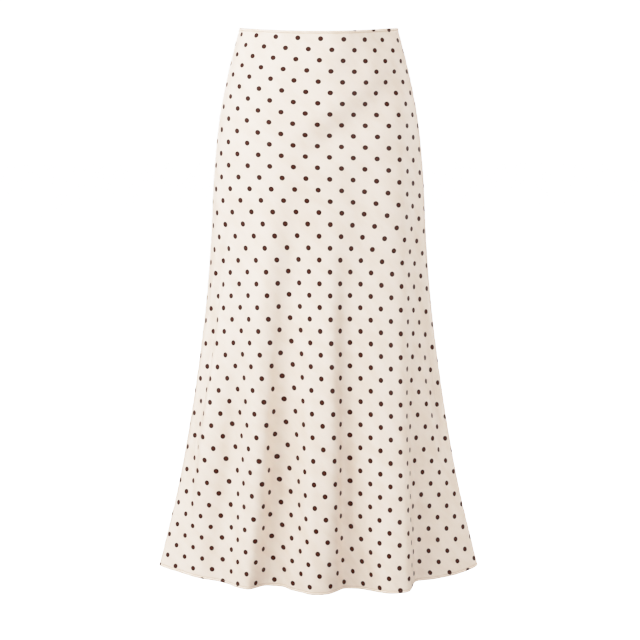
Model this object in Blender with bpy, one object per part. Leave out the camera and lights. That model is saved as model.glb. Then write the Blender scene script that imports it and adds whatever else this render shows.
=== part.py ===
"""A bias-cut satin slip skirt, hollow and filled out as if it were worn.

Two cut panels, a front and a back, meet at the side seams. Each is one closed
wall: an outer grid of points, the same grid moved inwards by the thickness of
the cloth, and a rim that joins the two. Every row of a grid is half a ring.
A ring is worked out from its half width, its depths to the front and to the
back, and the folds that run down through it.

Frame: metres, +Z up, +X to the viewer's right, and the front faces -Y.
The origin is the middle of the waist opening, level with the side seam tops.
Lengths below are in millimetres until a point is written into a mesh.
"""

import math
from collections import namedtuple

import bmesh
import bpy
import numpy as np

MM = 0.001

# Driving dimensions.
SIDE_LENGTH = 838.0  # waist to hem, straight down from the top of a side seam
WALL = 1.5  # thickness of the cloth wall
SEAM_GAP = 0.3  # between the two panels at each side seam
WAIST_DIP_FRONT = 4.5  # the waist edge at centre front, below the side seams
WAIST_DIP_BACK = 9.0
HEM_DIP_FRONT = 17.0  # the hem at centre front, below the side seams
HEM_DIP_BACK = 14.0
WAIST_TURN = 4.0  # depth of the turned-in edge along the waist
HEM_TURN = 4.5  # depth of the narrow double-turned hem
TURN_OUT = 0.35  # how far the turned edges stand out of the panel
TURN_IN = 0.7  # and how far they stand in
EDGE_ROUND = 0.5  # rounding of the two free edges

# Resolution of the grids.
COLUMNS = 60  # quads across one panel
BODY_ROWS = 21  # quads down the plain cloth between the two turned edges
SIDE_CROWDING = 0.45  # 0 spaces the columns evenly, 1 crowds them at the seams
RING_SAMPLES = 900  # fine points along half a ring, before it is spaced out

# The body of the skirt, ring by ring. depth is below the waist, half_width is
# from the middle to the side seam, front and back are how far the cloth
# reaches from the seam line to the centre front and centre back before any
# fold, seam_y is where the seam line runs, square is how flat the centre is
# (2 is round), and nose is how round the side is (small is a narrow flute).
Ring = namedtuple("Ring", "depth half_width front back seam_y square nose")
RINGS = [
    Ring(0.0, 119.5, 73.0, 86.0, 0.0, 2.30, 1.50),
    Ring(60.0, 135.5, 79.0, 102.0, 0.0, 2.30, 1.40),
    Ring(130.0, 150.0, 84.5, 117.0, 0.0, 2.25, 1.30),
    Ring(220.0, 160.0, 87.0, 126.0, 0.0, 2.25, 1.20),
    Ring(320.0, 165.5, 87.5, 127.0, 0.0, 2.20, 1.00),
    Ring(420.0, 174.0, 86.0, 126.0, -1.0, 2.15, 0.75),
    Ring(520.0, 187.0, 83.0, 126.0, -2.0, 2.10, 0.50),
    Ring(620.0, 203.0, 78.0, 126.0, -3.0, 2.05, 0.38),
    Ring(720.0, 222.5, 72.5, 127.0, -4.0, 2.00, 0.32),
    Ring(790.0, 239.5, 69.0, 129.0, -5.0, 2.00, 0.29),
    Ring(838.0, 251.5, 66.0, 130.0, -5.0, 2.00, 0.27),
]

# The folds, one row each. top_at and hem_at say where the fold's crest runs,
# as a share of the half width: -1 is the left seam, 0 the middle, 1 the right
# seam. It starts at the depth begins, has its full height at the depth full,
# and is gone again at the depth gone, or runs out through the hem. left and
# right are the half widths of its two flanks, and drop is how much lower the
# hem hangs at the crest. A negative height is a trough.
Fold = namedtuple("Fold", "top_at hem_at begins full gone height left right drop")
THROUGH_HEM = 10_000.0
FRONT_FOLDS = [
    Fold(-0.95, -0.88, 340.0, 600.0, 800.0, -5.0, 9.0, 10.0, 0.0),
    Fold(-0.81, -0.74, 320.0, 600.0, 835.0, 8.0, 25.0, 20.0, 1.5),
    Fold(-0.43, -0.44, 260.0, 838.0, THROUGH_HEM, 28.0, 43.0, 20.0, 1.0),
    Fold(-0.19, -0.15, 660.0, 838.0, THROUGH_HEM, 7.0, 13.0, 11.0, 1.5),
    Fold(0.02, -0.01, 260.0, 838.0, THROUGH_HEM, 33.0, 29.0, 36.0, 1.5),
    Fold(0.31, 0.25, 690.0, 838.0, THROUGH_HEM, -8.0, 24.0, 20.0, 3.5),
    Fold(0.68, 0.49, 315.0, 838.0, THROUGH_HEM, 40.0, 49.0, 20.0, 4.0),
    Fold(0.80, 0.80, 500.0, 838.0, THROUGH_HEM, 0.0, 48.0, 40.0, 4.0),
    Fold(0.95, 0.95, 335.0, 560.0, 760.0, -8.0, 11.0, 9.0, 0.0),
]
BACK_FOLDS = [
    Fold(-0.95, -0.90, 420.0, 640.0, 820.0, -5.0, 9.0, 11.0, 0.0),
    Fold(-0.74, -0.62, 360.0, 838.0, THROUGH_HEM, 24.0, 30.0, 28.0, 2.5),
    Fold(-0.32, -0.27, 410.0, 838.0, THROUGH_HEM, 28.0, 31.0, 34.0, 3.5),
    Fold(0.05, 0.07, 560.0, 838.0, THROUGH_HEM, 11.0, 20.0, 18.0, 1.0),
    Fold(0.36, 0.37, 380.0, 838.0, THROUGH_HEM, 28.0, 33.0, 29.0, 3.0),
    Fold(0.75, 0.71, 350.0, 838.0, THROUGH_HEM, 22.0, 27.0, 30.0, 2.0),
    Fold(0.94, 0.90, 400.0, 600.0, 780.0, -5.0, 11.0, 9.0, 0.0),
]
FLANK_POWER = 3.0  # a flute's cross-section: 2 is a bell, more is a flatter crest

SATIN_COLOUR = (0.86, 0.80, 0.74, 1.0)
SATIN_ROUGHNESS = 0.35


def smooth_step(value):
    """0 below 0, 1 above 1, and a smooth rise between."""
    t = min(max(value, 0.0), 1.0)
    return t * t * (3.0 - 2.0 * t)


def ring_at(depth):
    """The Ring at any depth, by a smooth curve through the table's rows."""
    depths = np.array([r.depth for r in RINGS])
    i = int(np.clip(np.searchsorted(depths, depth) - 1, 0, len(RINGS) - 2))
    span = depths[i + 1] - depths[i]
    t = (depth - depths[i]) / span
    values = np.array(RINGS, float)
    slopes = np.gradient(values, depths, axis=0)
    low, high = values[i], values[i + 1]
    blend = (2 * t**3 - 3 * t**2 + 1) * low + (3 * t**2 - 2 * t**3) * high
    lean = (t**3 - 2 * t**2 + t) * slopes[i] + (t**3 - t**2) * slopes[i + 1]
    return Ring(*(blend + span * lean))


def side_curve(rise, nose):
    """How far the ring has come in from the side, from 0 there to 1 at the
    middle, for a rise from 0 to 1 towards the front or back. A small nose
    gives straight flanks that meet in a narrow rounded end."""
    spread = np.sqrt(rise**2 + nose**2) - nose
    return spread / (math.sqrt(1.0 + nose**2) - nose)


def fold_profile(fold, across, depth, half_width):
    """How much of one fold there is at each point of a half ring, from 0 to 1."""
    grown = smooth_step((depth - fold.begins) / (fold.full - fold.begins))
    if fold.gone < THROUGH_HEM:
        grown *= 1.0 - smooth_step((depth - fold.full) / (fold.gone - fold.full))
    run = min(max((depth - fold.begins) / (SIDE_LENGTH - fold.begins), 0.0), 1.0)
    crest = fold.top_at + (fold.hem_at - fold.top_at) * run
    away = (across - crest) * half_width
    flank = np.where(away < 0.0, fold.left, fold.right)
    return grown * np.exp(-np.abs(away / flank) ** FLANK_POWER)


def level_normals(line, facing):
    """Unit directions out of the skirt, level, at the points of half a ring.
    At the seams they point straight sideways, so that both panels agree."""
    along = np.gradient(line[:, :2], axis=0)
    out = np.column_stack([along[:, 1], -along[:, 0]]) * -facing
    out /= np.linalg.norm(out, axis=1)[:, None]
    out[0] = (-1.0, 0.0)
    out[-1] = (1.0, 0.0)
    return out


def half_ring(depth, facing):
    """Fine points of the ring's front (facing -1) or back (facing 1) half,
    from the left seam to the right, as columns x, y, z."""
    ring = ring_at(depth)
    turn = np.linspace(math.pi, 0.0, RING_SAMPLES)
    rise = np.sin(turn)
    inward = np.clip(1.0 - side_curve(rise, ring.nose), 0.0, 1.0)
    across = np.sign(np.cos(turn)) * inward ** (1.0 / ring.square)
    reach = ring.front if facing < 0 else ring.back
    x = ring.half_width * across
    y = ring.seam_y + facing * reach * rise

    folds = FRONT_FOLDS if facing < 0 else BACK_FOLDS
    lift, drop = np.zeros(RING_SAMPLES), np.zeros(RING_SAMPLES)
    for fold in folds:
        share = fold_profile(fold, across, depth, ring.half_width)
        lift += fold.height * share
        drop += fold.drop * share
    out = level_normals(np.column_stack([x, y]), facing)
    x = x + lift * out[:, 0]
    y = y + lift * out[:, 1]

    down = depth / SIDE_LENGTH
    waist_dip = WAIST_DIP_FRONT if facing < 0 else WAIST_DIP_BACK
    hem_dip = HEM_DIP_FRONT if facing < 0 else HEM_DIP_BACK
    dip = (waist_dip * (1.0 - down) + hem_dip * down) * (1.0 - across**2)
    z = -(depth + dip + drop)
    return np.column_stack([x, y, z])


def spaced_out(points):
    """COLUMNS + 1 of the fine points, closer together towards the seams."""
    steps = np.linalg.norm(np.diff(points[:, :2], axis=0), axis=1)
    travelled = np.concatenate([[0.0], np.cumsum(steps)])
    even = np.linspace(0.0, 1.0, COLUMNS + 1)
    crowded = 0.5 - 0.5 * np.cos(math.pi * even)
    share = even * (1.0 - SIDE_CROWDING) + crowded * SIDE_CROWDING
    wanted = share * travelled[-1]
    return np.column_stack([np.interp(wanted, travelled, c) for c in points.T])


def row_depths():
    """Depths of the rows: fine at the two turned edges, even in between."""
    waist = [0.0, EDGE_ROUND, WAIST_TURN, WAIST_TURN + TURN_IN]
    hem = [SIDE_LENGTH - d for d in (HEM_TURN + TURN_IN, HEM_TURN, EDGE_ROUND, 0.0)]
    body = np.linspace(waist[-1], hem[0], BODY_ROWS + 1)[1:-1]
    return waist + list(body) + hem


def wall_faces_at(depth):
    """How far the wall's outer and inner faces lie from the ring at a depth:
    the turned edges are thicker, and both free edges are rounded."""
    out, into = 0.0, -WALL
    if depth <= WAIST_TURN or depth >= SIDE_LENGTH - HEM_TURN:
        out, into = TURN_OUT, -WALL - TURN_IN
    if depth in (0.0, SIDE_LENGTH):
        out, into = out - EDGE_ROUND, into + EDGE_ROUND
    return out, into


def panel_points(facing):
    """The outer and inner grids of a panel, as arrays of rows of points."""
    outer, inner = [], []
    for depth in row_depths():
        row = spaced_out(half_ring(depth, facing))
        out = level_normals(row, facing)
        row[[0, -1], 1] += facing * SEAM_GAP / 2.0
        out_by, in_by = wall_faces_at(depth)
        for grid, offset in ((outer, out_by), (inner, in_by)):
            moved = row.copy()
            moved[:, :2] += out * offset
            grid.append(moved)
    return np.array(outer), np.array(inner)


def panel_mesh(name, facing):
    """A closed mesh of one panel: two grids of quads and the rim around them."""
    outer, inner = panel_points(facing)
    mesh = bmesh.new()
    grids = [
        [[mesh.verts.new(point * MM) for point in row] for row in grid]
        for grid in (outer, inner)
    ]
    rows, columns = len(outer), len(outer[0])
    for grid in grids:
        for r in range(rows - 1):
            for c in range(columns - 1):
                corners = grid[r][c], grid[r][c + 1], grid[r + 1][c + 1], grid[r + 1][c]
                mesh.faces.new(corners)
    edge_path = [(0, c) for c in range(columns)]
    edge_path += [(r, columns - 1) for r in range(1, rows)]
    edge_path += [(rows - 1, c) for c in range(columns - 2, -1, -1)]
    edge_path += [(r, 0) for r in range(rows - 2, 0, -1)]
    for here, there in zip(edge_path, edge_path[1:] + edge_path[:1]):
        rim = [grids[0][here[0]][here[1]], grids[0][there[0]][there[1]]]
        rim += [grids[1][there[0]][there[1]], grids[1][here[0]][here[1]]]
        mesh.faces.new(rim)
    bmesh.ops.recalc_face_normals(mesh, faces=mesh.faces)
    data = bpy.data.meshes.new(name)
    mesh.to_mesh(data)
    mesh.free()
    data.shade_smooth()
    data.set_sharp_from_angle(angle=math.radians(50.0))
    return data


def satin_material():
    """Pale cream satin."""
    material = bpy.data.materials.new("satin")
    material.use_nodes = True
    shader = material.node_tree.nodes["Principled BSDF"]
    shader.inputs["Base Color"].default_value = SATIN_COLOUR
    shader.inputs["Roughness"].default_value = SATIN_ROUGHNESS
    shader.inputs["Metallic"].default_value = 0.0
    return material


def build():
    """Clears the scene and makes the skirt's two panels."""
    for thing in list(bpy.data.objects):
        bpy.data.objects.remove(thing)
    satin = satin_material()
    for name, facing in (("front_panel", -1), ("back_panel", 1)):
        panel = bpy.data.objects.new(name, panel_mesh(name, facing))
        panel.data.materials.append(satin)
        bpy.context.scene.collection.objects.link(panel)


build()
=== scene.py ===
"""The looks of a bias-cut satin slip skirt, hollow and filled out as if worn.

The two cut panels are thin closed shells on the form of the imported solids,
with the finer creases that the solids leave out. Their turned edges, the side
seams' allowances and all the stitching are meshes, and the dots are a print
that lies on the cut of the cloth, so it shears and squeezes as bias cloth does.

The skirt's lengths are in millimetres until a point is written into a mesh.
The stated sizes of the sheets, the stage, the lights and the camera are in
metres. The front faces -Y, and +X is to the viewer's right.
"""

import math
from collections import namedtuple

import bpy
import numpy as np
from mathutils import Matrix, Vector


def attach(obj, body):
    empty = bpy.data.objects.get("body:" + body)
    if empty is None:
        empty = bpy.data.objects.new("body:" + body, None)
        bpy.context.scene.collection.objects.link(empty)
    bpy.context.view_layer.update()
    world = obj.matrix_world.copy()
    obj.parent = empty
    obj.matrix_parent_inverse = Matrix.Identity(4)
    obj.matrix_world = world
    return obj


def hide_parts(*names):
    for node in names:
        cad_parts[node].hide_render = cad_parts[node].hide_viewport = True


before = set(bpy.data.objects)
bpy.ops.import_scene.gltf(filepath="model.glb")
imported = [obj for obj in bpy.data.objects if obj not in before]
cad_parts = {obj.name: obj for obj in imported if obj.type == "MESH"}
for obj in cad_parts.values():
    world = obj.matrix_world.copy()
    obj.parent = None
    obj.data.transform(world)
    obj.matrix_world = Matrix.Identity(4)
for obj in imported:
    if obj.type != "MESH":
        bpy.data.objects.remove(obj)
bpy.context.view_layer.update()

MM = 0.001
FRONT, BACK = -1, 1

# ---------------------------------------------------------------- the form
# The same rings and folds as the solids have. A ring's depth is below the
# waist, half_width is from the middle to the side seam, and front and back are
# how far the cloth reaches from the seam line, which runs at seam_y. square is
# how flat the centre is (2 is round), and nose how round the side is. The rings'
# half widths follow the photograph's outline.

SIDE_LENGTH = 838.0  # waist to hem, straight down from the top of a side seam
WAIST_DIP = {FRONT: 4.5, BACK: 9.0}  # edges at the centre, below the side seams
HEM_DIP = {FRONT: 17.0, BACK: 14.0}

Ring = namedtuple("Ring", "depth half_width front back seam_y square nose")
RINGS = [
    Ring(0.0, 119.5, 73.0, 86.0, 0.0, 2.30, 1.50),
    Ring(60.0, 135.5, 79.0, 102.0, 0.0, 2.30, 1.40),
    Ring(130.0, 150.0, 84.5, 117.0, 0.0, 2.25, 1.30),
    Ring(220.0, 160.0, 87.0, 126.0, 0.0, 2.25, 1.20),
    Ring(320.0, 165.5, 87.5, 127.0, 0.0, 2.20, 1.00),
    Ring(420.0, 174.0, 86.0, 126.0, -1.0, 2.15, 0.75),
    Ring(520.0, 187.0, 83.0, 126.0, -2.0, 2.10, 0.50),
    Ring(620.0, 203.0, 78.0, 126.0, -3.0, 2.05, 0.38),
    Ring(720.0, 222.5, 72.5, 127.0, -4.0, 2.00, 0.32),
    Ring(790.0, 239.5, 69.0, 129.0, -5.0, 2.00, 0.29),
    Ring(838.0, 251.5, 66.0, 130.0, -5.0, 2.00, 0.27),
]

# A fold's crest runs from top_at to hem_at, as shares of the half width. It
# begins, is full and is gone at those depths. left and right are the half
# widths of its flanks, and drop is how much lower the hem hangs there. A fold
# of negative height is a trough. The front's second, third, fifth, sixth and
# last rows lie close to a computed fit to the photograph's dots and hem. Its
# other rows are changed or added, and the back's are chosen.
Fold = namedtuple("Fold", "top_at hem_at begins full gone height left right drop")
THROUGH_HEM = 10_000.0
FLANK_POWER = 3.0  # 2 is a bell across the fold, and more is a flatter crest
FOLD_CALM = 8.0  # the folds die out this far in from a side seam, so it stays closed
FOLDS = {
    FRONT: [
        Fold(-0.95, -0.88, 340.0, 600.0, 800.0, -5.0, 9.0, 10.0, 0.0),
        Fold(-0.81, -0.74, 320.0, 600.0, 835.0, 8.0, 25.0, 20.0, 1.5),
        Fold(-0.43, -0.44, 260.0, 838.0, THROUGH_HEM, 28.0, 43.0, 20.0, 1.0),
        Fold(-0.19, -0.15, 660.0, 838.0, THROUGH_HEM, 7.0, 13.0, 11.0, 1.5),
        Fold(0.02, -0.01, 260.0, 838.0, THROUGH_HEM, 33.0, 29.0, 36.0, 1.5),
        Fold(0.31, 0.25, 690.0, 838.0, THROUGH_HEM, -8.0, 24.0, 20.0, 3.5),
        Fold(0.68, 0.49, 315.0, 838.0, THROUGH_HEM, 40.0, 49.0, 20.0, 4.0),
        Fold(0.80, 0.80, 500.0, 838.0, THROUGH_HEM, 0.0, 48.0, 40.0, 4.0),
        Fold(0.95, 0.95, 335.0, 560.0, 760.0, -8.0, 11.0, 9.0, 0.0),
    ],
    BACK: [
        Fold(-0.95, -0.90, 420.0, 640.0, 820.0, -5.0, 9.0, 11.0, 0.0),
        Fold(-0.74, -0.62, 360.0, 838.0, THROUGH_HEM, 24.0, 30.0, 28.0, 2.5),
        Fold(-0.32, -0.27, 410.0, 838.0, THROUGH_HEM, 28.0, 31.0, 34.0, 3.5),
        Fold(0.05, 0.07, 560.0, 838.0, THROUGH_HEM, 11.0, 20.0, 18.0, 1.0),
        Fold(0.36, 0.37, 380.0, 838.0, THROUGH_HEM, 28.0, 33.0, 29.0, 3.0),
        Fold(0.75, 0.71, 350.0, 838.0, THROUGH_HEM, 22.0, 27.0, 30.0, 2.0),
        Fold(0.94, 0.90, 400.0, 600.0, 780.0, -5.0, 11.0, 9.0, 0.0),
    ],
}

# Finer creases, each along a line on the cloth. across is measured along the
# cloth from the centre line, from top to end; depth is below the waist. bow
# bends the line sideways and width is the half width of the crease. ridge is
# how far the line stands out, and step how far the cloth stands out to the left
# of it and in to the right of it. All in millimetres.
Crease = namedtuple("Crease", "across depth end_across end_depth bow width ridge step")
CREASES = {
    FRONT: [
        # drag lines below the left of the waist
        Crease(-120.0, 6.0, -62.0, 13.0, 1.0, 2.4, -1.3, 0.0),
        Crease(-60.0, 15.0, -18.0, 13.0, -1.0, 2.8, -0.9, 0.0),
        Crease(-128.0, 30.0, -84.0, 22.0, -1.5, 5.0, 0.7, 0.0),
        # the pull from the right of the waist down across the stomach
        Crease(176.0, 14.0, -60.0, 186.0, 5.0, 30.0, 0.0, 3.8),
        Crease(82.0, -110.0, 18.0, 130.0, 5.0, 44.0, 0.0, 5.2),
        Crease(104.0, -110.0, 84.0, 120.0, 0.0, 26.0, 0.0, 2.4),
        Crease(150.0, 78.0, 46.0, 214.0, 3.0, 15.0, 0.7, 0.0),
        Crease(78.0, 90.0, 92.0, 480.0, 0.0, 34.0, 0.0, -3.0),
        # the right flank of the left fold, from where it opens
        Crease(-40.0, 160.0, -104.0, 880.0, -5.0, 29.0, 0.0, 6.4),
        Crease(-46.0, 600.0, -45.0, 1000.0, 0.0, 8.0, 0.0, 1.0),
        # the right flank of the middle fold, and the hollow beyond it
        Crease(28.0, 260.0, 42.0, 860.0, -2.0, 18.0, 0.0, 4.0),
        Crease(57.0, 500.0, 64.0, 1100.0, 0.0, 14.0, 1.5, -2.2),
        # between the left fold and the side
        Crease(-136.0, 250.0, -214.0, 620.0, -7.0, 9.0, -2.6, 2.2),
        Crease(-206.0, 515.0, -241.0, 710.0, 1.0, 2.4, -0.8, 0.0),
        Crease(-148.0, 440.0, -222.0, 1100.0, 0.0, 38.0, 0.0, 8.5),
        # the crest of the right fold, and the side beyond it
        Crease(101.0, 560.0, 122.0, 860.0, 0.0, 9.0, -1.0, 0.4),
        Crease(142.0, 40.0, 158.0, 620.0, -4.0, 24.0, 0.0, 3.6),
        Crease(218.0, 470.0, 236.0, 690.0, 0.0, 4.5, -1.0, 0.3),
        Crease(236.0, 540.0, 276.0, 740.0, 0.0, 5.0, -1.0, -0.4),
    ],
    BACK: [
        # drag lines below the waist, and the pulls from its two ends
        Crease(-96.0, 8.0, -40.0, 14.0, 1.0, 2.6, -1.0, 0.0),
        Crease(52.0, 16.0, 108.0, 7.0, -1.0, 2.8, -1.1, 0.0),
        Crease(-178.0, 24.0, 8.0, 156.0, -5.0, 26.0, 0.0, -2.4),
        Crease(172.0, 4.0, -30.0, 238.0, 6.0, 32.0, 0.0, 3.4),
        # both flanks of the left fold
        Crease(-158.0, 300.0, -214.0, 900.0, -6.0, 17.0, 0.0, -3.4),
        Crease(-112.0, 320.0, -158.0, 900.0, 4.0, 16.0, 0.0, 3.8),
        # both flanks of the fold left of the middle
        Crease(-74.0, 380.0, -100.0, 900.0, 3.0, 15.0, 0.0, -2.8),
        Crease(-30.0, 340.0, -44.0, 880.0, -4.0, 19.0, 0.0, 4.6),
        # the small fold in the middle
        Crease(4.0, 540.0, -6.0, 900.0, 0.0, 9.0, -1.3, 0.6),
        Crease(38.0, 470.0, 48.0, 880.0, 2.0, 12.0, 0.0, 2.2),
        # both flanks of the fold right of the middle
        Crease(68.0, 370.0, 76.0, 900.0, 0.0, 15.0, 0.0, -3.2),
        Crease(112.0, 330.0, 134.0, 880.0, -5.0, 18.0, 0.0, 4.4),
        # the right fold, and a fine line near each side
        Crease(150.0, 430.0, 184.0, 900.0, 4.0, 12.0, -1.6, -2.4),
        Crease(192.0, 380.0, 240.0, 880.0, 6.0, 14.0, 0.0, 3.8),
        Crease(-206.0, 470.0, -244.0, 760.0, 2.0, 5.0, -1.2, 0.5),
        Crease(212.0, 520.0, 246.0, 720.0, 0.0, 4.5, -1.0, 0.3),
    ],
}

# ---------------------------------------------------------------- the cloth

CLOTH = 0.5  # thickness of the satin
SEAM_GAP = 0.1  # between the two panels at a side seam
TURN = 4.5  # depth of the turned edges at the waist and the hem
EDGE_ROWS = [0.0, 0.35, 1.2, 2.2, 3.2, 3.8, 4.3, 5.0, 6.2, 8.0]  # in from a free edge
BODY_ROWS = 168  # quads down the cloth between the fine rows of the two edges
COLUMNS = 220  # quads across one panel
SIDE_CROWDING = 0.3  # 0 spaces the columns evenly, 1 crowds them at the seams
RING_SAMPLES = 900  # fine points along half a ring, before they are spaced out
CREASE_TAPER = 0.35  # share of a crease's length over which each end dies out
SEAM_CALM = 16.0  # the creases die out this far from a side seam
SEAM_ROLL = 0.25  # how far the outer face rolls in at a side seam
SEAM_ROLL_REACH = 1.3

# The ripple of a sewn edge: short waves that drift along, under a slow swell.
# Each wave's length is given as that of one radian.
RIPPLE = 0.3  # how far the edge ripples
EDGE_RIPPLE_REACH = 9.0  # in from the waist and the hem
SEAM_RIPPLE_REACH = 6.0  # in from a side seam
RIPPLE_WAVE = 2.9
DRIFT = 1.6
DRIFT_WAVE = 11.3
SWELL = 0.35
SWELL_WAVE = 37.0

# ---------------------------------------------------------------- the print
# Dots sit on a square grid cut on the bias, so rows of dots run level and
# every second row is half a step along. A row's number counts half steps
# down; its depth is on the centre line of column 0, pitch is the half step
# across, start is where column 0 lies, tilt is how much lower each next
# column lies, and curve bends the row. Bias cloth is pulled wide at the hips
# and hangs narrow below them. The front's rows -4 to 44 are a computed fit to
# the photograph's dots, rounded and in places a little changed. Its two end
# rows lie beyond the cloth and carry them on. The back's are chosen.
PrintRow = namedtuple("PrintRow", "row depth pitch start tilt curve")
PRINT_ROWS = {
    FRONT: [
        PrintRow(-8, -49.5, 16.0, 37.2, 1.00, 0.090),
        PrintRow(-4, 12.6, 16.8, 36.8, 0.70, 0.035),
        PrintRow(0, 74.3, 17.9, 35.4, 0.75, 0.015),
        PrintRow(4, 136.5, 18.2, 34.7, 0.87, 0.055),
        PrintRow(8, 199.1, 17.9, 34.3, 1.10, 0.139),
        PrintRow(12, 264.5, 17.2, 35.0, 1.20, 0.185),
        PrintRow(16, 333.9, 15.9, 33.0, 0.90, 0.170),
        PrintRow(20, 403.8, 15.6, 33.0, 0.93, 0.168),
        PrintRow(26, 509.5, 15.5, 35.2, 0.93, 0.155),
        PrintRow(32, 615.2, 15.7, 38.5, 0.75, 0.130),
        PrintRow(38, 721.8, 16.0, 43.0, 0.53, 0.104),
        PrintRow(44, 826.8, 16.7, 53.0, 0.60, 0.085),
        PrintRow(50, 931.0, 17.2, 60.0, 0.60, 0.075),
    ],
    BACK: [
        PrintRow(-8, -48.0, 16.6, 5.0, -0.4, 0.010),
        PrintRow(4, 139.0, 17.9, 5.0, -0.5, 0.040),
        PrintRow(12, 267.0, 17.2, 6.0, -0.6, 0.120),
        PrintRow(20, 405.0, 16.0, 7.0, -0.6, 0.130),
        PrintRow(32, 614.0, 15.8, 9.0, -0.5, 0.110),
        PrintRow(50, 930.0, 16.8, 12.0, -0.4, 0.080),
    ],
}
PRINT_ROUNDS = 12  # of finding the row that a point lies on, each one nearer


def column(rows, name):
    """One named column of a table as an array."""
    return np.array([getattr(row, name) for row in rows], float)


def smooth_step(value):
    """0 below 0, 1 above 1, and a smooth rise between."""
    t = np.clip(value, 0.0, 1.0)
    return t * t * (3.0 - 2.0 * t)


def rings_at(depths):
    """A Ring of columns, one value for each depth, by a smooth curve."""
    table = np.array(RINGS, float)
    known = table[:, 0]
    i = np.clip(np.searchsorted(known, depths) - 1, 0, len(RINGS) - 2)
    span = (known[i + 1] - known[i])[:, None]
    t = (depths - known[i])[:, None] / span
    slopes = np.gradient(table, known, axis=0)
    blend = (2 * t**3 - 3 * t**2 + 1) * table[i] + (3 * t**2 - 2 * t**3) * table[i + 1]
    lean = (t**3 - 2 * t**2 + t) * slopes[i] + (t**3 - t**2) * slopes[i + 1]
    return Ring(*(blend + span * lean).T[:, :, None])


def side_curve(rise, nose):
    """How far a ring has come in from its side, from 0 there to 1 at the middle."""
    spread = np.sqrt(rise**2 + nose**2) - nose
    return spread / (np.sqrt(1.0 + nose**2) - nose)


def fold_share(fold, across, depths, half_width):
    """How much of one fold there is at each point, from 0 to 1."""
    grown = smooth_step((depths - fold.begins) / (fold.full - fold.begins))
    if fold.gone < THROUGH_HEM:
        grown = grown * (1.0 - smooth_step((depths - fold.full) / (fold.gone - fold.full)))
    run = np.clip((depths - fold.begins) / (SIDE_LENGTH - fold.begins), 0.0, 1.0)
    crest = fold.top_at + (fold.hem_at - fold.top_at) * run
    away = (across - crest) * half_width
    flank = np.where(away < 0.0, fold.left, fold.right)
    return grown * np.exp(-np.abs(away / flank) ** FLANK_POWER)


def level_normals(grid, facing):
    """Unit directions out of the skirt, level, with the seams' straight sideways."""
    along = np.gradient(grid[..., :2], axis=1)
    out = np.stack([along[..., 1], -along[..., 0]], axis=-1) * -facing
    out /= np.linalg.norm(out, axis=-1, keepdims=True)
    out[:, 0] = (-1.0, 0.0)
    out[:, -1] = (1.0, 0.0)
    return out


def ring_rows(depths, facing):
    """Fine points of the front or back half of each ring, from the left seam."""
    ring = rings_at(depths)
    down = depths[:, None]
    turn = np.linspace(math.pi, 0.0, RING_SAMPLES)[None, :]
    rise = np.sin(turn)
    inward = np.clip(1.0 - side_curve(rise, ring.nose), 0.0, 1.0)
    across = np.sign(np.cos(turn)) * inward ** (1.0 / ring.square)
    reach = ring.front if facing == FRONT else ring.back
    grid = np.zeros(across.shape + (3,))
    grid[..., 0] = ring.half_width * across
    grid[..., 1] = ring.seam_y + facing * reach * rise
    lift, drop = np.zeros(across.shape), np.zeros(across.shape)
    calm = smooth_step((1.0 - np.abs(across)) * ring.half_width / FOLD_CALM)
    for fold in FOLDS[facing]:
        share = calm * fold_share(fold, across, down, ring.half_width)
        lift += fold.height * share
        drop += fold.drop * share
    grid[..., :2] += level_normals(grid, facing) * lift[..., None]
    share_down = down / SIDE_LENGTH
    dip = WAIST_DIP[facing] * (1.0 - share_down) + HEM_DIP[facing] * share_down
    grid[..., 2] = -(down + dip * (1.0 - across**2) + drop)
    return grid


STEP_PEAK = math.sqrt(2.0 * math.e)  # makes a step's highest point its stated size


def crease_lift(crease, across, depths):
    """How far one crease moves each point of the cloth, outwards."""
    run_a, run_d = crease.end_across - crease.across, crease.end_depth - crease.depth
    length = math.hypot(run_a, run_d)
    away_a, away_d = across - crease.across, depths - crease.depth
    along = (away_a * run_a + away_d * run_d) / length**2
    beside = (away_a * run_d - away_d * run_a) / length
    beside = beside - crease.bow * np.sin(math.pi * np.clip(along, 0.0, 1.0))
    taper = smooth_step(along / CREASE_TAPER) * smooth_step((1.0 - along) / CREASE_TAPER)
    share = beside / crease.width
    profile = crease.ridge - STEP_PEAK * crease.step * share
    return taper * profile * np.exp(-(share**2))


def ripple(along):
    """An uneven wave along a sewn edge, between -1 and 1."""
    swing = 1.0 - SWELL + SWELL * np.sin(along / SWELL_WAVE)
    return swing * np.sin(along / RIPPLE_WAVE + DRIFT * np.sin(along / DRIFT_WAVE))


def row_depths():
    """Depths of the rows: fine at the two turned edges, even in between."""
    waist = np.array(EDGE_ROWS)
    hem = SIDE_LENGTH - waist[::-1]
    body = np.linspace(waist[-1], hem[0], BODY_ROWS + 1)[1:-1]
    return np.concatenate([waist, body, hem])


def from_free_edge(depths):
    """How far each depth is from the waist or the hem, whichever is nearer."""
    return np.minimum(depths, SIDE_LENGTH - depths)


def panel_columns(length):
    """Where a panel's columns stand, from its left seam: closer near the seams."""
    even = np.linspace(0.0, 1.0, COLUMNS + 1)
    crowded = 0.5 - 0.5 * np.cos(math.pi * even)
    return length * (even * (1.0 - SIDE_CROWDING) + crowded * SIDE_CROWDING)


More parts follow.
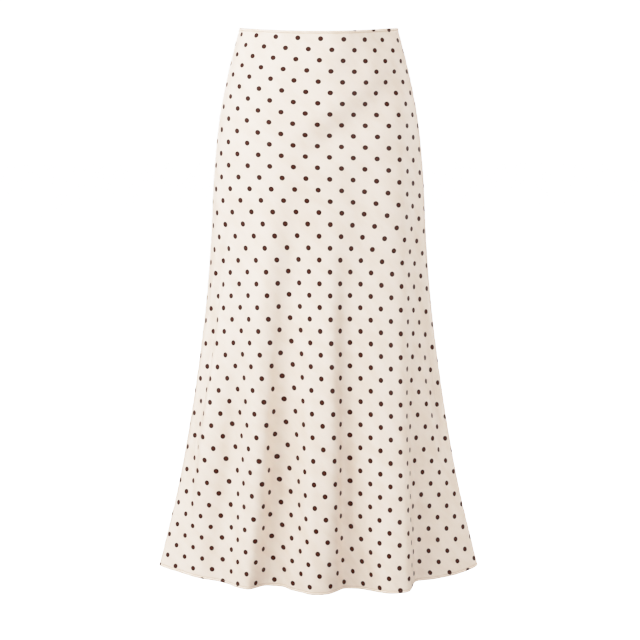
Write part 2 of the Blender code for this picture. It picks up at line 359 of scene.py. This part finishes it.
class Cloth:
    """The middle surface of one panel: a grid of points with level normals out
    of it, and for each point its depth, its place across, along the cloth, and
    its distance from the nearer side seam. columns gives the distances of the
    columns from the left seam, for the length of a row."""

    def __init__(self, facing, depths, columns=panel_columns):
        fine = ring_rows(depths, facing)
        steps = np.linalg.norm(np.diff(fine[..., :2], axis=1), axis=-1)
        travelled = np.concatenate([np.zeros((len(depths), 1)), np.cumsum(steps, axis=1)], axis=1)
        out_of_ring = level_normals(fine, facing)
        grid, normals, across, from_seam = [], [], [], []
        for row, way, went in zip(fine, out_of_ring, travelled):
            wanted = columns(went[-1])
            grid.append(np.column_stack([np.interp(wanted, went, c) for c in row.T]))
            normals.append(np.column_stack([np.interp(wanted, went, c) for c in way.T]))
            across.append(wanted - np.interp(0.0, row[:, 0], went))
            from_seam.append(np.minimum(wanted, went[-1] - wanted))
        self.facing = facing
        self.grid = np.array(grid)
        self.normals = np.array(normals)
        self.across = np.array(across)
        self.from_seam = np.array(from_seam)
        self.depths = np.repeat(depths[:, None], self.across.shape[1], axis=1)
        self.grid[..., :2] += self.normals * self.lift()[..., None]
        at_seam = np.exp(-((self.from_seam / SEAM_ROLL_REACH) ** 2))
        self.grid[..., 1] += facing * SEAM_GAP / 2.0 * at_seam

    def lift(self):
        """How far creases and sewn edges move each point outwards. At a side
        seam it is the same on both panels."""
        creases = sum(crease_lift(c, self.across, self.depths) for c in CREASES[self.facing])
        near_edge = np.exp(-((from_free_edge(self.depths) / EDGE_RIPPLE_REACH) ** 2))
        near_seam = np.exp(-((self.from_seam / SEAM_RIPPLE_REACH) ** 2))
        calm = smooth_step(self.from_seam / SEAM_CALM)
        edges = RIPPLE * near_edge * ripple(self.across)
        return calm * (creases + edges) + RIPPLE * near_seam * ripple(self.depths)

    def moved(self, offset):
        """The grid's points, moved out by an offset for each of them."""
        points = self.grid.copy()
        points[..., :2] += self.normals * np.broadcast_to(offset, self.across.shape)[..., None]
        return points


def print_coordinates(facing, across, depths):
    """Where each point of the cloth lies on the print's square grid. The rows are
    bent, so the row of a point is found by nearer and nearer guesses."""
    rows = PRINT_ROWS[facing]
    numbers, known = column(rows, "row"), column(rows, "depth")
    lay = {name: column(rows, name) for name in ("pitch", "start", "tilt", "curve")}
    row = np.interp(depths, known, numbers)
    for _ in range(PRINT_ROUNDS):
        at = {name: np.interp(row, numbers, values) for name, values in lay.items()}
        step = (across - at["start"]) / at["pitch"]
        row = np.interp(depths - at["tilt"] * step - at["curve"] * step**2, known, numbers)
    return np.stack([(step + row) / 2.0, (step - row) / 2.0], axis=-1)


# ---------------------------------------------------------------- meshes


def mesh_object(name, points, faces, materials, faces_material=None, corner_uv=None):
    """An object from points in millimetres and quads or other polygons."""
    data = bpy.data.meshes.new(name)
    data.from_pydata((points * MM).tolist(), [], faces)
    for material in materials:
        data.materials.append(material)
    if faces_material is not None:
        data.polygons.foreach_set("material_index", faces_material)
    if corner_uv is not None:
        layer = data.uv_layers.new(name="cut")
        corners = np.zeros(len(data.loops), int)
        data.loops.foreach_get("vertex_index", corners)
        layer.uv.foreach_set("vector", corner_uv[corners].astype(np.float32).ravel())
    data.validate()
    data.shade_smooth()
    thing = bpy.data.objects.new(name, data)
    bpy.context.scene.collection.objects.link(thing)
    return thing


def grid_quads(first, rows, columns, turned):
    """Quads between the points of one grid, as rows of point numbers."""
    r, c = np.meshgrid(np.arange(rows - 1), np.arange(columns - 1), indexing="ij")
    at = first + r * columns + c
    quads = np.stack([at, at + 1, at + columns + 1, at + columns], axis=-1).reshape(-1, 4)
    return quads[:, ::-1] if turned else quads


def wall_object(name, outer, inner, uv, materials, inside_of, sewn):
    """A closed wall between two grids. inside_of gives the material of each
    inner quad, by its row and column, and sewn is how close each point is to
    a stitch line or a folded edge, from 0 to 1, which sets the painted shade there."""
    rows, columns = outer.shape[:2]
    count = rows * columns
    points = np.concatenate([outer.reshape(-1, 3), inner.reshape(-1, 3)])
    # The outer grid runs left to right and downwards, seen from the front.
    faces_out = grid_quads(0, rows, columns, turned=True)
    faces_in = grid_quads(count, rows, columns, turned=False)
    path = list(range(columns))
    path += [r * columns + columns - 1 for r in range(1, rows)]
    path += [(rows - 1) * columns + c for c in range(columns - 2, -1, -1)]
    path += [r * columns for r in range(rows - 2, 0, -1)]
    rim = [[a, b, b + count, a + count] for a, b in zip(path, path[1:] + path[:1])]
    faces = faces_out.tolist() + faces_in.tolist() + rim
    material = np.zeros(len(faces), int)
    material[len(faces_out) : len(faces_out) + len(faces_in)] = inside_of.ravel()
    corner_uv = np.concatenate([uv.reshape(-1, 2)] * 2)
    wall = mesh_object(name, points, faces, materials, material, corner_uv)
    # The sewn attribute carries the painted shade of the stitch line and the folded edge.
    tone = wall.data.attributes.new("sewn", "FLOAT", "POINT")
    tone.data.foreach_set("value", np.concatenate([sewn.ravel()] * 2).astype(np.float32))
    return wall


UPWARDS = np.array([0.0, 0.0, 1.0])
SIDEWAYS = np.array([1.0, 0.0, 0.0])
UPRIGHT = 1e-3  # a thread that leans less than this has no side of its own


def tubes_object(name, paths, radius, sides, material):
    """Many short round threads of one radius, joined as one mesh. paths is an
    array of threads, each a row of points."""
    count, length = paths.shape[:2]
    along = np.gradient(paths, axis=1)
    along /= np.linalg.norm(along, axis=-1, keepdims=True)
    side = np.cross(along, UPWARDS)
    upright = np.linalg.norm(side, axis=-1, keepdims=True) < UPRIGHT
    side = np.where(upright, SIDEWAYS, side)
    side /= np.linalg.norm(side, axis=-1, keepdims=True)
    other = np.cross(side, along)
    angle = np.arange(sides) * 2.0 * math.pi / sides
    ring = side[:, :, None] * np.cos(angle)[:, None] + other[:, :, None] * np.sin(angle)[:, None]
    points = (paths[:, :, None] + radius * ring).reshape(-1, 3)
    r, s = np.meshgrid(np.arange(length - 1), np.arange(sides), indexing="ij")
    nxt = (s + 1) % sides
    at, on = r * sides + s, r * sides + nxt
    quads = np.stack([at, at + sides, on + sides, on], axis=-1).reshape(-1, 4)
    first = list(range(sides))
    last = [(length - 1) * sides + k for k in reversed(range(sides))]
    faces = []
    for k in range(count):
        base = k * length * sides
        faces += (quads + base).tolist()
        faces += [[base + i for i in first], [base + i for i in last]]
    return mesh_object(name, points, faces, [material])


# ---------------------------------------------------------------- materials

RELIEF_DEPTH = 0.00005  # metres, of the floats and of the thread's twist


class Nodes:
    """Short ways to add and link the nodes of one material."""

    def __init__(self, name):
        self.material = bpy.data.materials.new(name)
        self.material.use_nodes = True
        self.tree = self.material.node_tree
        self.shader = self.tree.nodes["Principled BSDF"]

    def add(self, kind, **values):
        node = self.tree.nodes.new("ShaderNode" + kind)
        for name, value in values.items():
            setattr(node, name, value)
        return node

    def link(self, source, target):
        self.tree.links.new(source, target)

    def math(self, operation, first, second=0.0, third=0.0):
        node = self.add("Math", operation=operation)
        for socket, value in zip(node.inputs, (first, second, third)):
            self.put(socket, value)
        return node.outputs[0]

    def vector(self, operation, first, second=(0.0, 0.0, 0.0)):
        node = self.add("VectorMath", operation=operation)
        for socket, value in zip(node.inputs, (first, second)):
            self.put(socket, value)
        return node.outputs["Value" if operation == "LENGTH" else "Vector"]

    def put(self, socket, value):
        if isinstance(value, bpy.types.NodeSocket):
            self.link(value, socket)
        else:
            socket.default_value = value

    def ramp(self, value, low, high, to_low=0.0, to_high=1.0):
        node = self.add("MapRange", interpolation_type="SMOOTHSTEP")
        for name, number in (
            ("From Min", low),
            ("From Max", high),
            ("To Min", to_low),
            ("To Max", to_high),
        ):
            node.inputs[name].default_value = number
        self.put(node.inputs["Value"], value)
        return node.outputs["Result"]

    def mix(self, factor, first, second):
        node = self.add("Mix", data_type="RGBA")
        self.put(node.inputs["Factor"], factor)
        self.put(node.inputs["A"], first)
        self.put(node.inputs["B"], second)
        return node.outputs["Result"]

    def noise(self, place, scale, detail=2.0):
        node = self.add("TexNoise")
        self.link(place, node.inputs["Vector"])
        node.inputs["Scale"].default_value = scale
        node.inputs["Detail"].default_value = detail
        return node.outputs["Fac"]

    def relief(self, height, strength):
        node = self.add("Bump")
        node.inputs["Strength"].default_value = strength
        node.inputs["Distance"].default_value = RELIEF_DEPTH
        self.link(height, node.inputs["Height"])
        self.link(node.outputs["Normal"], self.shader.inputs["Normal"])


# Colours are linear. The cloth has two tones, and a painted shade beside its
# stitches and along a folded edge, for the shade of the stitch groove and the
# rolled edge. The first tone lies close to a computed fit to the photograph's
# cloth.
IVORY = (0.822, 0.702, 0.612, 1.0)
IVORY_DEEP = (0.778, 0.650, 0.554, 1.0)
# The painted shade of the stitch grooves and the folded edges, and how much of it there is.
SEWN_SHADE = (0.56, 0.41, 0.30, 1.0)
SEWN_SHADE_DEPTH = 0.42  # how much of that painted shade there is
# The dots' ink: darker at the edge of a dot and lighter in its middle.
INK = (0.034, 0.004, 0.001, 1.0)
INK_MIDDLE = (0.080, 0.013, 0.002, 1.0)
THREAD_DEEP = (0.50, 0.38, 0.28, 1.0)
THREAD_PALE = (0.68, 0.55, 0.44, 1.0)

# The dots, as shares of the side of the print's grid, which is about 23.5 mm.
CELL_MIDDLE = (0.5, 0.5, 0.0)
DOT_RADIUS = 0.156
DOT_SOFTNESS = 0.008  # to each side of the dot's edge
INK_LIGHTER_WITHIN = 0.03  # the ink is lighter in the dot's middle
INK_FULL_FROM = 0.12  # and full from here on
BLEED = 0.012  # how unevenly the ink has run
BLEED_SCALE = 22.0

# The cloth: how many clouds and floats there are to each side of the grid.
CLOUDS = (0.5, 1.3, 1.0)
CLOUD_STARTS = 0.35
CLOUD_FULL = 0.7
FLOATS = (9.0, 230.0, 1.0)
NOISE_DETAIL = 3.0
ROUGHNESS_SWING = 0.10  # between the floats
INK_ROUGHER = 0.12  # how much rougher the ink is than the cloth
ANISOTROPY = 0.4
SHEEN = 0.02
SHEEN_ROUGHNESS = 0.35
FLOAT_RELIEF = 0.25
TWIST = (2600.0, 2600.0, 1400.0)  # of the thread, in each metre
TWIST_RELIEF = 0.4


def satin(name, roughness, specular, ink_shows):
    """Bias-cut satin with its dots. ink_shows is 1 on the printed face, and
    less on the wrong side, where the ink only shows through."""
    n = Nodes(name)
    cut = n.add("UVMap", uv_map="cut").outputs["UV"]

    # The dots: how far each point is from the nearest corner of the grid.
    cell = n.vector("FRACTION", n.vector("ADD", cut, CELL_MIDDLE))
    reach = n.vector("LENGTH", n.vector("SUBTRACT", cell, CELL_MIDDLE))
    bleed = n.math("MULTIPLY_ADD", n.noise(cut, BLEED_SCALE), BLEED, -BLEED / 2.0)
    reach = n.math("ADD", reach, bleed)
    dot = n.ramp(reach, DOT_RADIUS - DOT_SOFTNESS, DOT_RADIUS + DOT_SOFTNESS, 1.0, 0.0)
    # The ink is lighter in the dot's middle.
    middle = n.ramp(reach, INK_LIGHTER_WITHIN, INK_FULL_FROM, 1.0, 0.0)
    ink = n.mix(middle, INK, INK_MIDDLE)

    # The cloth: faint clouds of tone, and painted shade where it is sewn and folded.
    clouds = n.vector("MULTIPLY", cut, CLOUDS)
    cloud = n.ramp(n.noise(clouds, 1.0, NOISE_DETAIL), CLOUD_STARTS, CLOUD_FULL)
    cloth = n.mix(cloud, IVORY, IVORY_DEEP)
    # Painted shade beside the stitches and along the folded edges.
    sewn = n.add("Attribute", attribute_name="sewn").outputs["Fac"]
    cloth = n.mix(n.math("MULTIPLY", sewn, SEWN_SHADE_DEPTH), cloth, SEWN_SHADE)
    colour = n.mix(n.math("MULTIPLY", dot, ink_shows), cloth, ink)
    n.link(colour, n.shader.inputs["Base Color"])

    # The gloss: floats that run along one thread, and rougher ink.
    floats = n.vector("MULTIPLY", cut, FLOATS)
    streaks = n.noise(floats, 1.0, NOISE_DETAIL)
    smoothest = roughness - ROUGHNESS_SWING / 2.0
    rough = n.math("MULTIPLY_ADD", streaks, ROUGHNESS_SWING, smoothest)
    inked = n.math("MULTIPLY_ADD", dot, INK_ROUGHER, rough)
    n.link(inked, n.shader.inputs["Roughness"])
    n.relief(streaks, FLOAT_RELIEF)

    n.shader.inputs["Specular IOR Level"].default_value = specular
    n.shader.inputs["Anisotropic"].default_value = ANISOTROPY
    tangent = n.add("Tangent", direction_type="UV_MAP", uv_map="cut")
    n.link(tangent.outputs["Tangent"], n.shader.inputs["Tangent"])
    n.shader.inputs["Sheen Weight"].default_value = SHEEN
    n.shader.inputs["Sheen Roughness"].default_value = SHEEN_ROUGHNESS
    return n.material


def thread():
    """Fine sand-coloured sewing thread, with its twist."""
    n = Nodes("thread")
    place = n.add("TexCoord").outputs["Object"]
    twist = n.noise(n.vector("MULTIPLY", place, TWIST), 1.0)
    n.link(n.mix(twist, THREAD_DEEP, THREAD_PALE), n.shader.inputs["Base Color"])
    n.shader.inputs["Roughness"].default_value = 0.5
    n.relief(twist, TWIST_RELIEF)
    return n.material


# ---------------------------------------------------------------- the skirt

# How the two faces of the cloth stand at a distance from a free edge: the
# turned edge is thicker, the stitching pulls it in, and the edge is rounded.
EdgeShape = namedtuple("EdgeShape", "distance out into")
EDGE_SHAPES = [
    EdgeShape(0.0, -0.35, -0.80),
    EdgeShape(0.35, 0.15, -1.20),
    EdgeShape(1.2, 0.45, -1.35),
    EdgeShape(2.2, 0.45, -1.35),
    EdgeShape(3.2, 0.15, -1.25),
    EdgeShape(3.8, -0.40, -1.30),
    EdgeShape(4.3, 0.0, -1.35),
    EdgeShape(5.0, 0.10, -0.70),
    EdgeShape(8.0, 0.0, -CLOTH),
]
FACE_SLOT, REVERSE_SLOT = 0, 1

# The stitches, and how far the painted shade reaches beside them.
STITCH_LINE = 3.8  # in from a free edge
SEWN_SHADE_REACH = 0.7
FOLDED_SHADE_REACH = 1.0  # the same, in from a folded edge
STITCH = 2.5
STITCH_GAP = 0.6
STITCH_ARCH = 1.7  # rise of a stitch's middle over its ends, in thread radii
STITCH_POINTS = 6
STITCH_SIDES = 6
STITCH_SAMPLES = 4001  # fine points along a row of stitches
THREAD_RADIUS = 0.16

# The side seams' allowances, pressed open inside. An allowance lies close at
# the seam, and lifts a little and ripples at its free edge.
ALLOWANCE = 9.0
ALLOWANCE_COLUMNS = 7
ALLOWANCE_ROWS = 150
ALLOWANCE_ENDS = 6.0  # short of the waist and the hem
ALLOWANCE_UNDER = 1.05  # how far inside the middle surface it lies at the seam
ALLOWANCE_LIFT = 0.5
ALLOWANCE_RIPPLE = 0.5

# The overlocked edge of an allowance: a thread in loops.
OVERLOCK_WIDTH = 3.2
OVERLOCK_PAST = 0.2  # past the allowance's edge
OVERLOCK_PITCH = 2.6
OVERLOCK_ENDS = 1.0  # short of the allowance's ends
OVERLOCK_SUNK = 0.5  # how far the cloth and the thread overlap, in thread radii
OVERLOCK_SIDES = 5
LOOP_STEPS = 4
LEFT, RIGHT = -1, 1


def faces_of(cloth):
    """The outer and inner faces' offsets from the middle surface."""
    from_edge = from_free_edge(cloth.depths)
    known = column(EDGE_SHAPES, "distance")
    roll = SEAM_ROLL * np.exp(-((cloth.from_seam / SEAM_ROLL_REACH) ** 2))
    out = np.interp(from_edge, known, column(EDGE_SHAPES, "out")) - roll
    into = np.interp(from_edge, known, column(EDGE_SHAPES, "into"))
    return out, np.minimum(into, out - CLOTH)


def panel(name, facing, face, reverse):
    """One cut panel: a closed thin wall with its turned edges."""
    cloth = Cloth(facing, row_depths())
    out, into = faces_of(cloth)
    outer, inner = cloth.moved(out), cloth.moved(into)
    uv = print_coordinates(facing, cloth.across, cloth.depths)
    middle = (cloth.depths[1:, 1:] + cloth.depths[:-1, :-1]) / 2.0
    inside_of = np.where(from_free_edge(middle) < TURN, FACE_SLOT, REVERSE_SLOT)
    from_edge = from_free_edge(cloth.depths)
    # Where the painted shade lies: along the stitch line and at the folded edge.
    stitch_shade = np.exp(-(((from_edge - STITCH_LINE) / SEWN_SHADE_REACH) ** 2))
    sewn = stitch_shade + np.exp(-((from_edge / FOLDED_SHADE_REACH) ** 2))
    if facing == BACK:
        outer, inner, uv = outer[:, ::-1], inner[:, ::-1], uv[:, ::-1]
        inside_of, sewn = inside_of[:, ::-1], sewn[:, ::-1]
    return wall_object(name, outer, inner, uv, [face, reverse], inside_of, sewn)


def stitch_row(name, facing, depth, material):
    """A row of straight stitches round one panel, at one depth."""
    fine = Cloth(facing, np.array([depth]), lambda length: np.linspace(0.0, length, STITCH_SAMPLES))
    out, _ = faces_of(fine)
    line = fine.moved(out)[0]
    normals = fine.normals[0]
    steps = np.linalg.norm(np.diff(line, axis=0), axis=1)
    went = np.concatenate([[0.0], np.cumsum(steps)])
    pitch = STITCH + STITCH_GAP
    count = int((went[-1] - STITCH_GAP) // pitch)
    lead = (went[-1] - count * pitch + STITCH_GAP) / 2.0
    share = np.linspace(0.0, 1.0, STITCH_POINTS)
    at = lead + np.arange(count)[:, None] * pitch + share[None, :] * STITCH
    paths = np.stack([np.interp(at, went, c) for c in line.T], axis=-1)
    ways = np.stack([np.interp(at, went, c) for c in normals.T], axis=-1)
    # Its ends go into the cloth.
    rise = THREAD_RADIUS * (STITCH_ARCH * np.sin(math.pi * share) ** 0.5 - 1.0)
    paths[..., :2] += ways * rise[None, :, None]
    return tubes_object(name, paths, THREAD_RADIUS, STITCH_SIDES, material)


def inside_cloth(facing, side, depths, distances):
    """The cloth by one side seam, at those distances from it."""
    if side == LEFT:
        return Cloth(facing, depths, lambda length: distances)
    return Cloth(facing, depths, lambda length: length - distances[::-1])


def allowance_offset(cloth):
    """How far out the allowance's printed face lies from the middle surface."""
    bend = (cloth.from_seam / ALLOWANCE) ** 2
    lift = ALLOWANCE_LIFT * bend * (1.0 + ALLOWANCE_RIPPLE * ripple(cloth.depths))
    return -ALLOWANCE_UNDER - lift


def allowance(name, facing, side, face):
    """One panel's allowance at one side seam, folded back against its inside,
    so that its printed face shows and the print is turned over at the seam."""
    distances = np.linspace(0.0, ALLOWANCE, ALLOWANCE_COLUMNS)
    depths = np.linspace(ALLOWANCE_ENDS, SIDE_LENGTH - ALLOWANCE_ENDS, ALLOWANCE_ROWS)
    cloth = inside_cloth(facing, side, depths, distances)
    lies = allowance_offset(cloth)
    over = cloth.moved(lies)
    under = cloth.moved(lies - CLOTH)
    turned = cloth.across + side * 2.0 * cloth.from_seam
    uv = print_coordinates(facing, turned, cloth.depths)
    if facing == BACK:
        over, under, uv = over[:, ::-1], under[:, ::-1], uv[:, ::-1]
    plain = np.full((ALLOWANCE_ROWS - 1, ALLOWANCE_COLUMNS - 1), FACE_SLOT)
    return wall_object(name, over, under, uv, [face], plain, np.zeros(lies.shape))


def overlock(name, facing, side, material):
    """The looped thread round the free edge of one allowance."""
    top = ALLOWANCE_ENDS + OVERLOCK_ENDS
    depths = np.arange(top, SIDE_LENGTH - top, OVERLOCK_PITCH / LOOP_STEPS)
    inward = np.array([OVERLOCK_WIDTH, OVERLOCK_WIDTH / 2.0, -OVERLOCK_PAST])
    cloth = inside_cloth(facing, side, depths, ALLOWANCE - inward)
    points = cloth.moved(allowance_offset(cloth) - CLOTH - OVERLOCK_SUNK * THREAD_RADIUS)
    if side == RIGHT:
        points = points[:, ::-1]
    loops = (len(depths) - 1) // LOOP_STEPS
    first = np.arange(loops) * LOOP_STEPS
    # Each loop goes in from the edge, and back out one pitch further down.
    way = [abs(LOOP_STEPS // 2 - k) for k in range(LOOP_STEPS + 1)]
    paths = np.stack([points[first + k, at] for k, at in enumerate(way)], axis=1)
    return tubes_object(name, paths, THREAD_RADIUS, OVERLOCK_SIDES, material)


face = satin("satin_face", roughness=0.38, specular=0.2, ink_shows=1.0)
reverse = satin("satin_reverse", roughness=0.60, specular=0.2, ink_shows=0.35)
sewing_thread = thread()

# What shows of each panel's cut, in metres: the hem's width, the longest line
# from the waist to the hem, and the area.
Cut = namedtuple("Cut", "name facing width length area")
CUTS = [
    Cut("front_panel", FRONT, 0.622, 0.857, 0.392),
    Cut("back_panel", BACK, 0.683, 0.853, 0.428),
]
for cut in CUTS:
    side = cut.name.split("_")[0]
    made = panel("satin_" + side, cut.facing, face, reverse)
    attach(made, "root")
    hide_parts(cut.name)
    sewn = []
    for edge, depth in (("waist", STITCH_LINE), ("hem", SIDE_LENGTH - STITCH_LINE)):
        sewn.append(stitch_row(f"{edge}_stitches_{side}", cut.facing, depth, sewing_thread))
    for hand, way in (("left", LEFT), ("right", RIGHT)):
        folded = allowance(f"allowance_{side}_{hand}", cut.facing, way, face)
        sewn.append(folded)
        sewn.append(overlock(f"overlock_{side}_{hand}", cut.facing, way, sewing_thread))
    for piece in sewn:
        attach(piece, "root")

# ---------------------------------------------------------------- the stage

WHITE = (1.0, 1.0, 1.0, 1.0)
FLOOR_Z = -1.03  # below the hem, which hangs free
FLOOR_SIDES = 96
FLOOR_GLOW = 2.0
DOME_SEGMENTS = 48
DOME_RINGS = 24
DOME_GLOW = 2.1
STAGE_SIZE = 12.0


def glowing_white(name, strength, shade):
    """A plain stage surface that stays white in the picture."""
    n = Nodes(name)
    n.shader.inputs["Base Color"].default_value = (shade, shade, shade, 1.0)
    n.shader.inputs["Roughness"].default_value = 1.0
    n.shader.inputs["Specular IOR Level"].default_value = 0.0
    n.shader.inputs["Emission Color"].default_value = WHITE
    n.shader.inputs["Emission Strength"].default_value = strength
    return n.material


def stage():
    """A pale floor below the hem and a pale dome all round. They show to the
    camera only, and add no light to the cloth."""
    bpy.ops.mesh.primitive_circle_add(vertices=FLOOR_SIDES, radius=STAGE_SIZE, fill_type="NGON")
    floor = bpy.context.object
    floor.name = "floor"
    floor.location.z = FLOOR_Z
    floor.data.materials.append(glowing_white("floor_white", FLOOR_GLOW, shade=0.5))
    bpy.ops.mesh.primitive_uv_sphere_add(
        segments=DOME_SEGMENTS,
        ring_count=DOME_RINGS,
        radius=STAGE_SIZE,
    )
    dome = bpy.context.object
    dome.name = "dome"
    dome.data.materials.append(glowing_white("dome_white", DOME_GLOW, shade=0.0))
    for thing in (floor, dome):
        thing.visible_diffuse = False
        thing.visible_glossy = False
        thing.visible_shadow = False
        thing.visible_transmission = False


# Each light by where it stands: degrees round from the front, negative to the
# left, and degrees up, and then its watts. All powers but the two back lights'
# lie close to a computed fit to the cloth's brightness in the photograph.
Light = namedtuple("Light", "name around up power")
LIGHTS = [
    Light("key", -54.0, 45.0, 68.0),
    Light("side_left", -100.0, 8.0, 28.0),
    Light("left", -65.0, 8.0, 25.0),
    Light("front_left", -35.0, 8.0, 23.0),
    Light("front", 24.0, 8.0, 50.0),
    Light("front_right", 56.0, 8.0, 26.0),
    Light("right", 108.0, 8.0, 30.0),
    Light("low", -50.0, -30.0, 12.0),
    Light("back_left", 196.0, 8.0, 46.0),
    Light("back_key", 146.0, 45.0, 52.0),
]
LIGHT_DISTANCE = 3.0  # from the aim point
LIGHT_SIZE = 2.0
AIM = (0.0, 0.0, -0.447)
SKY = 0.02


def place_round(around, up):
    """The point at the lights' distance from the aim point, in that direction."""
    turn, rise = math.radians(around), math.radians(up)
    way = (math.sin(turn) * math.cos(rise), -math.cos(turn) * math.cos(rise), math.sin(rise))
    return Vector(AIM) + LIGHT_DISTANCE * Vector(way)


def lights():
    """Plain soft white studio light from all round, strongest from the left."""
    for light in LIGHTS:
        data = bpy.data.lights.new(light.name, "AREA")
        data.shape = "DISK"
        data.size = LIGHT_SIZE
        data.energy = light.power
        lamp = bpy.data.objects.new(light.name, data)
        lamp.location = place_round(light.around, light.up)
        lamp.rotation_mode = "QUATERNION"
        lamp.rotation_quaternion = (lamp.location - Vector(AIM)).to_track_quat("Z", "Y")
        bpy.context.scene.collection.objects.link(lamp)
    world = bpy.data.worlds.new("studio")
    world.use_nodes = True
    sky = world.node_tree.nodes["Background"]
    sky.inputs["Color"].default_value = WHITE
    sky.inputs["Strength"].default_value = SKY
    bpy.context.scene.world = world


CAMERA_DISTANCE = 2.8
CAMERA_ELEVATION = 9.0  # degrees
CAMERA_ASIDE = 0.0023
CAMERA_SEES = 100.0  # how far it sees
FRAME_WIDTH = 0.992  # what the frame spans at the aim point
SENSOR = 36.0  # millimetres, as the lens is


def camera():
    """The photograph's viewing angle: straight at the front, from waist height."""
    data = bpy.data.cameras.new("camera")
    data.sensor_width = SENSOR
    data.lens = SENSOR * CAMERA_DISTANCE / FRAME_WIDTH
    data.clip_end = CAMERA_SEES
    seen_by = bpy.data.objects.new("camera", data)
    tilt = math.radians(CAMERA_ELEVATION)
    seen_by.location = (
        AIM[0] + CAMERA_ASIDE,
        AIM[1] - CAMERA_DISTANCE * math.cos(tilt),
        AIM[2] + CAMERA_DISTANCE * math.sin(tilt),
    )
    seen_by.rotation_euler = (math.radians(90.0) - tilt, 0.0, 0.0)
    bpy.context.scene.collection.objects.link(seen_by)
    bpy.context.scene.camera = seen_by


SHOULDER = 0.55  # brightness from which film compresses the light
FILM_WHITE = 2.0  # light that is plain white on the film
FILM_STEPS = [0.3, 0.55, 0.7, 0.85, 1.0, 1.2, 1.45, 1.7]  # between black and white
SHARED_CURVE = 3  # the one for all channels, after red, green and blue


def film():
    """A photograph's soft shoulder: bright cloth loses contrast and colour. It
    changes only how the picture is shown."""
    view = bpy.context.scene.view_settings
    view.view_transform = "Standard"
    view.use_curve_mapping = True
    mapping = view.curve_mapping
    mapping.white_level = (FILM_WHITE, FILM_WHITE, FILM_WHITE)
    # The curve's own two ends are black and white already.
    points = mapping.curves[SHARED_CURVE].points
    room = 1.0 - SHOULDER
    for step in FILM_STEPS:
        above = max(step - SHOULDER, 0.0)
        shown = min(step, SHOULDER) + room * (1.0 - math.exp(-above / room))
        points.new(step / FILM_WHITE, shown)
    mapping.update()


stage()
lights()
camera()
film()
